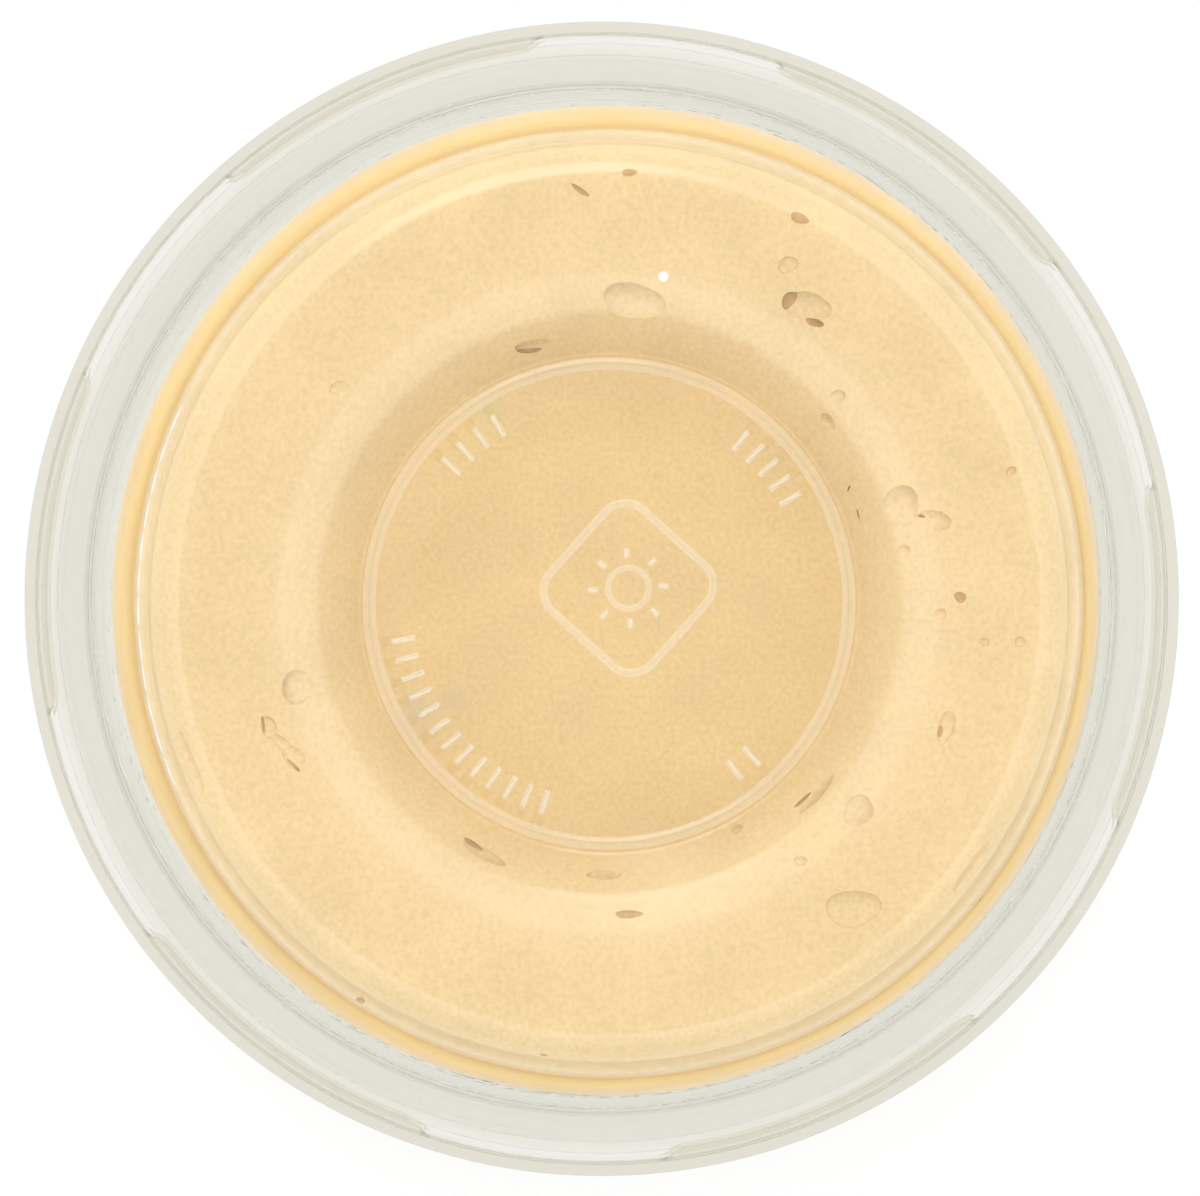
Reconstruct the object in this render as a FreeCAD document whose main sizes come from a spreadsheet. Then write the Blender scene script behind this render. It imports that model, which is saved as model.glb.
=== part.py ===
"""A round clear tub full of hummus, standing on its push-on lid with the base up.

The tub and the lid are thermoformed from thin clear sheet, and a clear film is heat-sealed over
the tub's mouth. Millimetres, +Z up, origin on the floor at the middle of the lid's face.
Every driving size is a cell of the sheet "sizes"; what follows from them is worked out in "fits".
"""
import FreeCAD, Part
import math
import os
import Sketcher

document = FreeCAD.newDocument("tub_of_hummus")
sizes = document.addObject("Spreadsheet::Sheet", "sizes")
fits = document.addObject("App::VarSet", "fits")

DRIVING_SIZES = [
    # the tub's mouth and flange
    ("flange_radius", 56.9, "outer edge of the tub's flange"),
    ("flange_width", 4.1, "from the flange's edge in to the collar"),
    ("flange_thickness", 0.7, "sheet left in the flange, which is stretched least"),
    ("wall_thickness", 0.55, "sheet left in the collar, wall and base"),
    ("collar_depth", 5.4, "sealing face to the stacking ledge"),
    ("collar_taper", 0.3, "how much the collar closes in over its depth"),
    ("ledge_width", 1.6, "stacking ledge between collar and wall"),
    # the tub's wall and base
    ("tub_depth", 44.8, "sealing face to the ring that the tub stands on"),
    ("wall_draft", 6.75, "slope of the wall from the tub's axis, in degrees"),
    ("heel_ledge", 1.3, "narrow ledge at the heel, round the foot of the shoulder"),
    ("shoulder_taper", 0.2, "how much the shoulder closes in over its rise"),
    ("shoulder_rise", 0.4, "plain part of the shoulder, between the ledge and its rounding"),
    ("shoulder_round", 3.6, "rounding of the shoulder's outer face"),
    ("stand_width", 7.9, "flat of the standing ring, from the shoulder's rounding to the ramp"),
    ("ramp_width", 4.9, "gentle ramp from the standing ring into the base's recess"),
    ("ramp_drop", 1.3, "fall of that ramp"),
    ("recess_width", 4.2, "steeper slope between the ramp and the panel"),
    ("recess_drop", 2.9, "fall of that slope"),
    ("bead_inset", 0.4, "from the foot of the slope to the panel's ring bead"),
    ("bead_width", 1.1, "ring bead round the panel"),
    ("bead_height", 0.3, "how far the ring bead stands up"),
    # the raised marks on the panel
    ("mark_height", 0.3, "how far the marks stand up"),
    ("mark_line", 0.7, "width of their lines"),
    ("frame_side", 13.2, "rounded square frame, over its sides"),
    ("frame_corner", 3.2, "outer rounding of the frame's corners"),
    ("frame_turn", 48.0, "how far the frame is turned, in degrees"),
    ("frame_right", 1.9, "frame's middle, right of the axis"),
    ("frame_back", 1.5, "frame's middle, behind the axis"),
    ("dial_radius", 2.4, "ring of the plain dial in the frame"),
    ("tick_gap", 0.5, "between the dial's ring and its ticks"),
    ("tick_length", 1.2, "length of a tick on the dial"),
    ("tick_count", 8, "ticks round the dial"),
    ("bar_length", 1.8, "length of a bar in the groups near the bead"),
    ("bar_inset", 1.2, "from the ring bead in to those bars"),
    # the hummus
    ("level_gap", 0.3, "from the stacking ledge's inner face to the level of the hummus"),
    # the sealing film
    ("film_thickness", 0.1, "heat-sealed film over the mouth"),
    ("film_inset", 0.6, "from the flange's edge in to the film's edge"),
    # the lid
    ("lid_thickness", 0.45, "sheet of the lid"),
    ("ring_height", 2.4, "how far the lid's stacking ring stands past its panel"),
    ("stack_clearance", 1.7, "between a stacked tub's heel and the inside of the ring"),
    ("ring_slope", 0.5, "lean of the ring's two sides"),
    ("panel_gap", 0.25, "between the lid's panel and the film"),
    ("seat_width", 1.6, "seat for the flange, from the flange's edge in to the ring"),
    ("skirt_clearance", 0.5, "between the flange's edge and the skirt"),
    ("skirt_margin", 0.2, "plain skirt between the lugs and the lip's rounding"),
    ("lip_width", 1.15, "flared lip past the outside of the skirt"),
    ("lip_round", 0.6, "rounding where the skirt turns into the lip"),
    ("lug_reach", 1.05, "how far a snap lug stands in from the skirt"),
    ("lug_rise", 1.3, "height of a snap lug"),
    ("lug_bevel", 0.35, "slope on each side of a snap lug"),
    ("snap_clearance", 0.15, "between the flange and the lugs"),
    ("lug_span", 35.5, "how far a lug runs round the skirt, in degrees"),
    ("lug_turn", -6.0, "direction of the first lug's middle, in degrees"),
    ("lug_count", 6, "snap lugs round the skirt"),
]
for row, (name, number, meaning) in enumerate(DRIVING_SIZES, 1):
    sizes.set(f"A{row}", meaning)
    sizes.set(f"B{row}", str(number))
    sizes.setAlias(f"B{row}", name)
document.recompute()


def fit(name, formula, meaning):
    """Name a size that follows from the sheet, for the sketches to use as fits.NAME."""
    fits.addProperty("App::PropertyFloat", name, "Fits", meaning)
    fits.setExpression(name, formula)
    document.recompute()


# Heights, from the floor up
fit("seat_level", "sizes.ring_height + sizes.lid_thickness + sizes.panel_gap", "lid's seat for the flange")
fit("seal_level", "fits.seat_level + sizes.film_thickness", "tub's sealing face")
fit("flange_level", "fits.seal_level + sizes.flange_thickness", "flange's other face")
fit("ledge_level", "fits.seal_level + sizes.collar_depth", "stacking ledge's outer face")
fit("stand_level", "fits.seal_level + sizes.tub_depth", "ring that the tub stands on")
fit("heel_level", "fits.stand_level - sizes.shoulder_round - sizes.shoulder_rise", "heel edge")
fit("ramp_level", "fits.stand_level - sizes.ramp_drop", "foot of the ramp")
fit("panel_level", "fits.ramp_level - sizes.recess_drop", "panel in the middle of the base")
fit("hummus_level", "fits.ledge_level - sizes.wall_thickness + sizes.level_gap", "level of the hummus")
fit("lug_level", "fits.flange_level + sizes.snap_clearance", "side of the lugs that holds the flange")
fit("flare_level", "fits.lug_level + sizes.lug_rise + sizes.skirt_margin", "start of the skirt's flare")
fit("lip_level", "fits.flare_level + sizes.lip_round", "side of the lip nearest the lugs")

# Radii, from the outside in
fit("skirt_radius", "sizes.flange_radius + sizes.skirt_clearance", "inside of the lid's skirt")
fit("lip_radius", "fits.skirt_radius + sizes.lid_thickness + sizes.lip_width", "edge of the lid's lip")
fit("throat_radius", "sizes.flange_radius - sizes.flange_width", "collar where it meets the flange")
fit("collar_radius", "fits.throat_radius - sizes.collar_taper", "collar where it meets the ledge")
fit("ledge_radius", "fits.collar_radius - sizes.ledge_width", "wall where it meets the ledge")
fit("wall_height", "fits.heel_level - fits.ledge_level", "ledge to heel")
fit("heel_radius", "fits.ledge_radius - fits.wall_height * tan(sizes.wall_draft)", "heel edge")
fit("foot_radius", "fits.heel_radius - sizes.heel_ledge", "foot of the shoulder")
fit("shoulder_radius", "fits.foot_radius - sizes.shoulder_taper", "shoulder's outer corner")
fit("flat_radius", "fits.shoulder_radius - sizes.shoulder_round", "standing ring's outer edge")
fit("stand_radius", "fits.flat_radius - sizes.stand_width", "standing ring's inner edge")
fit("ramp_radius", "fits.stand_radius - sizes.ramp_width", "foot of the ramp")
fit("panel_radius", "fits.ramp_radius - sizes.recess_width", "foot of the recess's slope")
fit("bead_radius", "fits.panel_radius - sizes.bead_inset - sizes.bead_width", "ring bead's inner edge")
fit("bar_radius", "fits.bead_radius - sizes.bar_inset", "outer end of the bars")
fit("ring_radius", "fits.heel_radius + sizes.stack_clearance", "inside of the lid's ring, at the panel")


def value(formula):
    """Work out a formula of sheet and fits names as a plain number."""
    return float(sizes.evalExpression(formula))


def new_body(label):
    """Start one piece, whose Label is the name of its file."""
    body = document.addObject("PartDesign::Body", label)
    body.Label = label
    return body


def new_sketch(body, name, plane_role):
    """Add a sketch on one of the body's own origin planes."""
    sketch = body.newObject("Sketcher::SketchObject", name)
    planes = [item for item in body.Origin.OriginFeatures if item.Role == plane_role]
    sketch.AttachmentSupport = (planes[0], [""])
    sketch.MapMode = "FlatFace"
    return sketch


def tie(sketch, kind, side, formula):
    """Hold the start of one side at a formula's distance from the sketch's origin."""
    number = sketch.addConstraint(Sketcher.Constraint(kind, -1, 1, side, 1, value(formula)))
    sketch.setExpression(f"Constraints[{number}]", formula)


def outline(sketch, corners):
    """Close a straight-sided outline through corners given as pairs of formulas."""
    places = [FreeCAD.Vector(value(across), value(up), 0) for across, up in corners]
    first = sketch.GeometryCount
    for start, end in zip(places, places[1:] + places[:1]):
        sketch.addGeometry(Part.LineSegment(start, end))
    for index, (across, up) in enumerate(corners):
        side = first + index
        side_before = first + (index - 1) % len(corners)
        sketch.addConstraint(Sketcher.Constraint("Coincident", side_before, 2, side, 1))
        tie(sketch, "DistanceX", side, across)
        tie(sketch, "DistanceY", side, up)


def circle(sketch, formula):
    """Draw a circle about the sketch's origin."""
    side = sketch.addGeometry(Part.Circle(FreeCAD.Vector(), FreeCAD.Vector(0, 0, 1), value(formula)))
    sketch.addConstraint(Sketcher.Constraint("Coincident", side, 3, -1, 1))
    number = sketch.addConstraint(Sketcher.Constraint("Radius", side, value(formula)))
    sketch.setExpression(f"Constraints[{number}]", formula)


def spin(body, name, sketch):
    """Turn a sketch round the tub's axis."""
    feature = body.newObject("PartDesign::Revolution", name)
    feature.Profile = (sketch, [""])
    feature.ReferenceAxis = (sketch, ["V_Axis"])
    feature.Angle = 360
    document.recompute()
    return feature


def round_edges(body, name, base, radius, places):
    """Round the ring edges of base that lie at (radius, height) places, given as formulas."""
    wanted = [(value(across), value(up)) for across, up in places]
    picked = []
    for number, edge in enumerate(base.Shape.Edges, 1):
        if not isinstance(edge.Curve, Part.Circle):
            continue
        ring = (edge.Curve.Radius, edge.Curve.Center.z)
        if any(abs(ring[0] - across) < 0.01 and abs(ring[1] - up) < 0.01 for across, up in wanted):
            picked.append(f"Edge{number}")
    if len(picked) < len(places):
        raise RuntimeError(f"{name}: found {len(picked)} of {len(places)} edges")
    feature = body.newObject("PartDesign::Fillet", name)
    feature.Base = (base, picked)
    feature.setExpression("Radius", radius)
    document.recompute()
    return feature


def pad(body, name, sketch, formula):
    """Raise a sketch's outlines by a formula's height."""
    feature = body.newObject("PartDesign::Pad", name)
    feature.Profile = (sketch, [""])
    feature.setExpression("Length", formula)
    document.recompute()
    return feature


def repeat_round(body, name, feature, axis, turn, count):
    """Repeat a feature about an axis, over a turn in degrees."""
    pattern = body.newObject("PartDesign::PolarPattern", name)
    pattern.Originals = [feature]
    pattern.Axis = axis
    pattern.setExpression("Angle", turn)
    pattern.setExpression("Occurrences", count)
    body.Tip = pattern
    document.recompute()
    return pattern


# The tub: one thin sheet from the flange's edge over collar, ledge, wall and heel to the panel
tub = new_body("tub")
tub_section = new_sketch(tub, "tub_section", "XZ_Plane")
THICK = "sizes.wall_thickness"
tub_outside = [
    ("sizes.flange_radius", "fits.seal_level"),
    ("sizes.flange_radius", "fits.flange_level"),
    ("fits.throat_radius", "fits.flange_level"),
    ("fits.collar_radius", "fits.ledge_level"),
    ("fits.ledge_radius", "fits.ledge_level"),
    ("fits.heel_radius", "fits.heel_level"),
    ("fits.foot_radius", "fits.heel_level"),
    ("fits.shoulder_radius", "fits.stand_level"),
    ("fits.stand_radius", "fits.stand_level"),
    ("fits.ramp_radius", "fits.ramp_level"),
    ("fits.panel_radius", "fits.panel_level"),
    ("fits.panel_radius - sizes.bead_inset", "fits.panel_level"),
    ("fits.bead_radius + sizes.bead_width * 3 / 4", "fits.panel_level + sizes.bead_height"),
    ("fits.bead_radius + sizes.bead_width / 4", "fits.panel_level + sizes.bead_height"),
    ("fits.bead_radius", "fits.panel_level"),
    ("0", "fits.panel_level"),
]
tub_inside = [
    ("0", f"fits.panel_level - {THICK}"),
    ("fits.panel_radius", f"fits.panel_level - {THICK}"),
    ("fits.ramp_radius", f"fits.ramp_level - {THICK}"),
    ("fits.stand_radius", f"fits.stand_level - {THICK}"),
    (f"fits.shoulder_radius - {THICK}", f"fits.stand_level - {THICK}"),
    (f"fits.foot_radius - {THICK}", f"fits.heel_level - {THICK}"),
    (f"fits.heel_radius - {THICK}", f"fits.heel_level - {THICK}"),
    (f"fits.ledge_radius - {THICK}", f"fits.ledge_level - {THICK}"),
    (f"fits.collar_radius - {THICK}", f"fits.ledge_level - {THICK}"),
    (f"fits.throat_radius - {THICK}", "fits.seal_level"),
]
outline(tub_section, tub_outside + tub_inside)
tub_sheet = spin(tub, "tub_sheet", tub_section)
shoulder_outside = round_edges(
    tub,
    "shoulder_outside",
    tub_sheet,
    "sizes.shoulder_round",
    [("fits.shoulder_radius", "fits.stand_level")],
)
round_edges(
    tub,
    "shoulder_inside",
    shoulder_outside,
    f"sizes.shoulder_round - {THICK}",
    [(f"fits.shoulder_radius - {THICK}", f"fits.stand_level - {THICK}")],
)


def mark_sketch(name, right, back, turn):
    """Start a sketch of raised marks on the outside of the panel."""
    sketch = new_sketch(tub, name, "XY_Plane")
    sketch.setExpression("AttachmentOffset.Base.x", right)
    sketch.setExpression("AttachmentOffset.Base.y", back)
    sketch.setExpression("AttachmentOffset.Base.z", "fits.panel_level")
    sketch.setExpression("AttachmentOffset.Rotation.Angle", turn)
    return sketch


def rounded_square(sketch, half, corner):
    """Draw a square with rounded corners about the sketch's origin."""
    arc = value(corner)
    flat = value(half) - arc
    quarter = math.pi / 2
    corners = [(1, 1), (-1, 1), (-1, -1), (1, -1)]
    first = sketch.GeometryCount
    for index, (right, up) in enumerate(corners):
        middle = FreeCAD.Vector(right * flat, up * flat, 0)
        round_corner = Part.Circle(middle, FreeCAD.Vector(0, 0, 1), arc)
        sketch.addGeometry(Part.ArcOfCircle(round_corner, index * quarter, (index + 1) * quarter))
    for index in range(len(corners)):
        following = first + (index + 1) % len(corners)
        start = sketch.getPoint(first + index, 2)
        side_line = sketch.addGeometry(Part.LineSegment(start, sketch.getPoint(following, 1)))
        sketch.addConstraint(Sketcher.Constraint("Tangent", first + index, 2, side_line, 1))
        sketch.addConstraint(Sketcher.Constraint("Tangent", side_line, 2, following, 1))
        direction = "Horizontal" if index % 2 == 0 else "Vertical"
        sketch.addConstraint(Sketcher.Constraint(direction, side_line))
        number = sketch.addConstraint(Sketcher.Constraint("Radius", first + index, arc))
        sketch.setExpression(f"Constraints[{number}]", corner)
    for index, sign in ((0, 1), (2, -1)):
        for kind in ("DistanceX", "DistanceY"):
            number = sketch.addConstraint(Sketcher.Constraint(kind, -1, 1, first + index, 3, sign * flat))
            sketch.setExpression(f"Constraints[{number}]", f"{sign} * ({half} - {corner})")


# The marks: a plain dial in a rounded square frame, and groups of plain bars along the ring bead
frame_sketch = mark_sketch("frame_outline", "sizes.frame_right", "sizes.frame_back", "sizes.frame_turn")
rounded_square(frame_sketch, "sizes.frame_side / 2", "sizes.frame_corner")
rounded_square(
    frame_sketch, "sizes.frame_side / 2 - sizes.mark_line", "sizes.frame_corner - sizes.mark_line"
)
pad(tub, "frame", frame_sketch, "sizes.mark_height")
dial_sketch = mark_sketch("dial_ring_outline", "sizes.frame_right", "sizes.frame_back", "sizes.frame_turn")
circle(dial_sketch, "sizes.dial_radius")
circle(dial_sketch, "sizes.dial_radius - sizes.mark_line")
pad(tub, "dial_ring", dial_sketch, "sizes.mark_height")
tick_sketch = mark_sketch("dial_tick_outline", "sizes.frame_right", "sizes.frame_back", "sizes.frame_turn")
tick_start = "sizes.dial_radius + sizes.tick_gap"
outline(
    tick_sketch,
    [
        (tick_start, "-sizes.mark_line / 2"),
        (f"{tick_start} + sizes.tick_length", "-sizes.mark_line / 2"),
        (f"{tick_start} + sizes.tick_length", "sizes.mark_line / 2"),
        (tick_start, "sizes.mark_line / 2"),
    ],
)
tick = pad(tub, "dial_tick", tick_sketch, "sizes.mark_height")
repeat_round(tub, "dial_ticks", tick, (tick_sketch, ["N_Axis"]), "360", "sizes.tick_count")

BAR_GROUPS = {  # name: (direction of the first bar, turn from first to last, bars)
    "front_left_bars": (190, 62, 13),
    "back_left_bars": (122, 17, 4),
    "back_right_bars": (30, 21, 5),
    "front_right_bars": (-53, 6, 2),
}
for group, (direction, turn, count) in BAR_GROUPS.items():
    bar_sketch = mark_sketch(f"{group}_outline", "0", "0", str(direction))
    outline(
        bar_sketch,
        [
            ("fits.bar_radius - sizes.bar_length", "-sizes.mark_line / 2"),
            ("fits.bar_radius", "-sizes.mark_line / 2"),
            ("fits.bar_radius", "sizes.mark_line / 2"),
            ("fits.bar_radius - sizes.bar_length", "sizes.mark_line / 2"),
        ],
    )
    bar = pad(tub, f"{group}_first", bar_sketch, "sizes.mark_height")
    repeat_round(tub, group, bar, (bar_sketch, ["N_Axis"]), str(turn), str(count))

# The hummus: it fills the tub from its level to the base. It is a plug that runs half-way into
# the wall and base, less the tub itself, and less the larger pockets of air under the base
plug = new_body("hummus_plug")
plug_section = new_sketch(plug, "plug_section", "XZ_Plane")
HALF = "sizes.wall_thickness / 2"
LEVEL_RADIUS = "fits.ledge_radius - (fits.hummus_level - fits.ledge_level) * tan(sizes.wall_draft)"
outline(
    plug_section,
    [
        ("0", "fits.hummus_level"),
        (f"{LEVEL_RADIUS} - {HALF}", "fits.hummus_level"),
        (f"fits.heel_radius - {HALF}", f"fits.heel_level - {HALF}"),
        (f"fits.foot_radius - {HALF}", f"fits.heel_level - {HALF}"),
        (f"fits.shoulder_radius - {HALF}", f"fits.stand_level - {HALF}"),
        ("fits.stand_radius", f"fits.stand_level - {HALF}"),
        ("fits.ramp_radius", f"fits.ramp_level - {HALF}"),
        ("fits.panel_radius", f"fits.panel_level - {HALF}"),
        ("0", f"fits.panel_level - {HALF}"),
    ],
)
plug_sheet = spin(plug, "plug_solid", plug_section)
round_edges(
    plug,
    "plug_shoulder",
    plug_sheet,
    f"sizes.shoulder_round - {HALF}",
    [(f"fits.shoulder_radius - {HALF}", f"fits.stand_level - {HALF}")],
)
filling = document.addObject("Part::Cut", "filling")
filling.Base = plug
filling.Tool = tub

AIR_POCKETS = [  # direction, distance out from the standing ring's inner edge, length, width, turn
    (85.5, -3.9, 6.2, 4.2, -4),
    (56.4, 1.4, 4.4, 2.8, -12),
    (18.6, -3.5, 5.6, 3.6, 10),
    (-20.2, 1.5, 3.2, 1.7, 80),
    (-42.6, -5.9, 5.4, 1.8, 62),
    (-39.7, -1.9, 3.4, 2.9, 20),
    (-51.4, 4.6, 5.2, 3.4, -8),
    (-116.7, -6.1, 5.0, 1.5, -32),
    (194.9, -2.0, 3.8, 3.4, 15),
    (203.1, 1.3, 5.6, 1.9, -52),
    (106.6, -7.1, 3.6, 1.6, 8),
]
POCKET_DEPTH = 0.22  # of a pocket's width


def base_inside(offset):
    """Formula for the height of the base's inner face, out from the standing ring's inner edge."""
    if offset >= 0:
        return f"fits.stand_level - {THICK}"
    if offset > -value("sizes.ramp_width"):
        return f"fits.stand_level - {THICK} + {offset} * sizes.ramp_drop / sizes.ramp_width"
    down = f"({offset} + sizes.ramp_width) * sizes.recess_drop / sizes.recess_width"
    return f"fits.ramp_level - {THICK} + {down}"


pockets = []
for number, (direction, offset, length, width, turn) in enumerate(AIR_POCKETS, 1):
    pocket = document.addObject("Part::Ellipsoid", f"air_pocket_{number}")
    pocket.Radius1 = POCKET_DEPTH * width
    pocket.Radius2 = length / 2
    pocket.Radius3 = width / 2
    pocket.Placement.Rotation = FreeCAD.Rotation(FreeCAD.Vector(0, 0, 1), turn)
    pocket.setExpression("Placement.Base.x", f"(fits.stand_radius + {offset}) * cos({direction})")
    pocket.setExpression("Placement.Base.y", f"(fits.stand_radius + {offset}) * sin({direction})")
    pocket.setExpression("Placement.Base.z", base_inside(offset))
    pockets.append(pocket)
air = document.addObject("Part::MultiFuse", "air")
air.Shapes = pockets
hummus = document.addObject("Part::Cut", "hummus")
hummus.Label = "hummus"
hummus.Base = filling
hummus.Tool = air
document.recompute()

# The sealing film: a thin clear disc, welded to the flange's face
film = document.addObject("Part::Cylinder", "seal_film")
film.Label = "seal_film"
film.setExpression("Radius", "sizes.flange_radius - sizes.film_inset")
film.setExpression("Height", "sizes.film_thickness")
film.setExpression("Placement.Base.z", "fits.seat_level")

# The lid: one thin sheet from its panel over the stacking ring, seat and skirt to the flared lip
lid = new_body("lid")
lid_section = new_sketch(lid, "lid_section", "XZ_Plane")
SHEET = "sizes.lid_thickness"
RING_EDGE = "sizes.flange_radius - sizes.seat_width"
outline(
    lid_section,
    [
        ("0", "sizes.ring_height"),
        ("fits.ring_radius", "sizes.ring_height"),
        ("fits.ring_radius + sizes.ring_slope", "0"),
        (RING_EDGE, "0"),
        (f"{RING_EDGE} + sizes.ring_slope", f"fits.seat_level - {SHEET}"),
        (f"fits.skirt_radius + {SHEET}", f"fits.seat_level - {SHEET}"),
        (f"fits.skirt_radius + {SHEET}", "fits.lip_level"),
        ("fits.lip_radius", "fits.lip_level"),
        ("fits.lip_radius", f"fits.lip_level + {SHEET}"),
        ("fits.skirt_radius", f"fits.lip_level + {SHEET}"),
        ("fits.skirt_radius", "fits.seat_level"),
        (f"{RING_EDGE} + sizes.ring_slope - {SHEET}", "fits.seat_level"),
        (f"{RING_EDGE} - {SHEET}", SHEET),
        (f"fits.ring_radius + sizes.ring_slope + {SHEET}", SHEET),
        (f"fits.ring_radius + {SHEET}", f"sizes.ring_height + {SHEET}"),
        ("0", f"sizes.ring_height + {SHEET}"),
    ],
)
lid_sheet = spin(lid, "lid_sheet", lid_section)
lip_inside = round_edges(
    lid,
    "lip_inside",
    lid_sheet,
    f"sizes.lip_round + {SHEET}",
    [("fits.skirt_radius", f"fits.lip_level + {SHEET}")],
)
round_edges(
    lid,
    "lip_outside",
    lip_inside,
    "sizes.lip_round",
    [(f"fits.skirt_radius + {SHEET}", "fits.lip_level")],
)

# The snap lugs: ridges inside the skirt that catch the flange's far side
lug_section = new_sketch(lid, "lug_section", "XZ_Plane")
lug_section.AttachmentOffset = FreeCAD.Placement(
    FreeCAD.Vector(), FreeCAD.Rotation(FreeCAD.Vector(0, 1, 0), value("sizes.lug_turn"))
)
outline(
    lug_section,
    [
        (f"fits.skirt_radius + {SHEET} / 2", "fits.lug_level"),
        ("fits.skirt_radius", "fits.lug_level"),
        ("fits.skirt_radius - sizes.lug_reach", "fits.lug_level + sizes.lug_bevel"),
        ("fits.skirt_radius - sizes.lug_reach", "fits.lug_level + sizes.lug_rise - sizes.lug_bevel"),
        ("fits.skirt_radius", "fits.lug_level + sizes.lug_rise"),
        (f"fits.skirt_radius + {SHEET} / 2", "fits.lug_level + sizes.lug_rise"),
    ],
)
lug = spin(lid, "lug", lug_section)
lug.Midplane = True
lug.setExpression("Angle", "sizes.lug_span")
repeat_round(lid, "lugs", lug, (lug_section, ["V_Axis"]), "360", "sizes.lug_count")

# Every piece is checked before its file is written
pieces = [tub, hummus, film, lid]
faults = []
for item in document.Objects:
    if "Invalid" in item.State or "Error" in item.State:
        faults.append(f"{item.Name}: {item.State}")
for piece in pieces:
    shape = piece.Shape
    if shape.isNull() or not shape.isValid() or len(shape.Solids) != 1:
        faults.append(f"{piece.Label}: not one valid solid")
if faults:
    raise RuntimeError("; ".join(faults))

os.makedirs("parts", exist_ok=True)
for piece in pieces:
    piece.Shape.exportStep(os.path.join("parts", f"{piece.Label}.step"))
    box = piece.Shape.optimalBoundingBox(False)
    print(f"{piece.Label}: {piece.Shape.Volume / 1000:.2f} ml, out to {box.XMax:.2f}, up to {box.ZMax:.2f}")
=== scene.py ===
import bpy
from math import atan2, cos, degrees, hypot, radians, sin, sqrt, tan
from mathutils import Matrix, Vector
from random import Random
import numpy as np


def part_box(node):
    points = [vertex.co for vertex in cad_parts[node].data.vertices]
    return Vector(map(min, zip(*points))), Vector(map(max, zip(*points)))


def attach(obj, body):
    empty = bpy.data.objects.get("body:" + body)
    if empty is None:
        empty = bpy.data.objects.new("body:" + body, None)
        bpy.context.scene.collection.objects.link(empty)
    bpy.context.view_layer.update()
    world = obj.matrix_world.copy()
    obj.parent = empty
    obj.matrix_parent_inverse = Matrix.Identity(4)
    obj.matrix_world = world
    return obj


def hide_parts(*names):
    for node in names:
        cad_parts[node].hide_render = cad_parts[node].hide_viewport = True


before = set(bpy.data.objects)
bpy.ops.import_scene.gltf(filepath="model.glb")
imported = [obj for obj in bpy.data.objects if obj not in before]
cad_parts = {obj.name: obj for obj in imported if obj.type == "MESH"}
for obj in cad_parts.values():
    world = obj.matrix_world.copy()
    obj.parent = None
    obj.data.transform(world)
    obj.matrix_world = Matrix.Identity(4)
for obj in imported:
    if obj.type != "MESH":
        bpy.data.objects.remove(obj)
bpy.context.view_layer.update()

# The tub: one thin clear sheet, thermoformed over a mould, standing with its base up.
# Flange, collar and stacking ledge at the mouth, then the wall, the heel, the rounded
# shoulder, the ring that it stands on and a ramp down into the panel of the base.
MM = 0.001
tub_low, tub_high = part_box("tub")
SEAL_LEVEL = tub_low.z / MM
STAND_LEVEL = tub_high.z / MM
FLANGE_RADIUS = tub_high.x / MM
SHEET = 0.55
FLANGE_SHEET = 0.7
AROUND = 384
COLLAR_DEPTH = 5.4
HEEL_DEPTH = 4.0
RAMP_FALL = 1.3
SLOPE_FALL = 2.9
FLANGE_LEVEL = SEAL_LEVEL + FLANGE_SHEET
LEDGE_LEVEL = SEAL_LEVEL + COLLAR_DEPTH
HEEL_LEVEL = STAND_LEVEL - HEEL_DEPTH
RAMP_LEVEL = STAND_LEVEL - RAMP_FALL
PANEL_LEVEL = RAMP_LEVEL - SLOPE_FALL
FLANGE_WIDTH = 4.1
LEDGE_WIDTH = 1.9
HEEL_WIDTH = 1.3
SHOULDER_ROUND = 3.6
STAND_WIDTH = 7.9
RAMP_WIDTH = 4.9
SLOPE_WIDTH = 4.2
THROAT_RADIUS = FLANGE_RADIUS - FLANGE_WIDTH
COLLAR_RADIUS = THROAT_RADIUS - 0.3
LEDGE_RADIUS = THROAT_RADIUS - LEDGE_WIDTH
DRAFT = tan(radians(6.75))
HEEL_RADIUS = LEDGE_RADIUS - (HEEL_LEVEL - LEDGE_LEVEL) * DRAFT
FOOT_RADIUS = HEEL_RADIUS - HEEL_WIDTH
SHOULDER_RADIUS = FOOT_RADIUS - 0.2
STAND_RADIUS = SHOULDER_RADIUS - SHOULDER_ROUND - STAND_WIDTH
RAMP_RADIUS = STAND_RADIUS - RAMP_WIDTH
PANEL_RADIUS = RAMP_RADIUS - SLOPE_WIDTH
WELD_RADIUS = FLANGE_RADIUS - 3.1
WELD_HEIGHT = 0.12
BEAD_OUTER = PANEL_RADIUS - 0.3
BEAD_INNER = BEAD_OUTER - 1.3
BEAD_SLOPE = 0.5
BEAD_TOP = PANEL_LEVEL + 0.24


def select_only(*pieces):
    """Select these pieces and nothing else; the first becomes the active one."""
    bpy.ops.object.select_all(action="DESELECT")
    for piece in pieces:
        piece.select_set(True)
    bpy.context.view_layer.objects.active = pieces[0]


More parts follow.
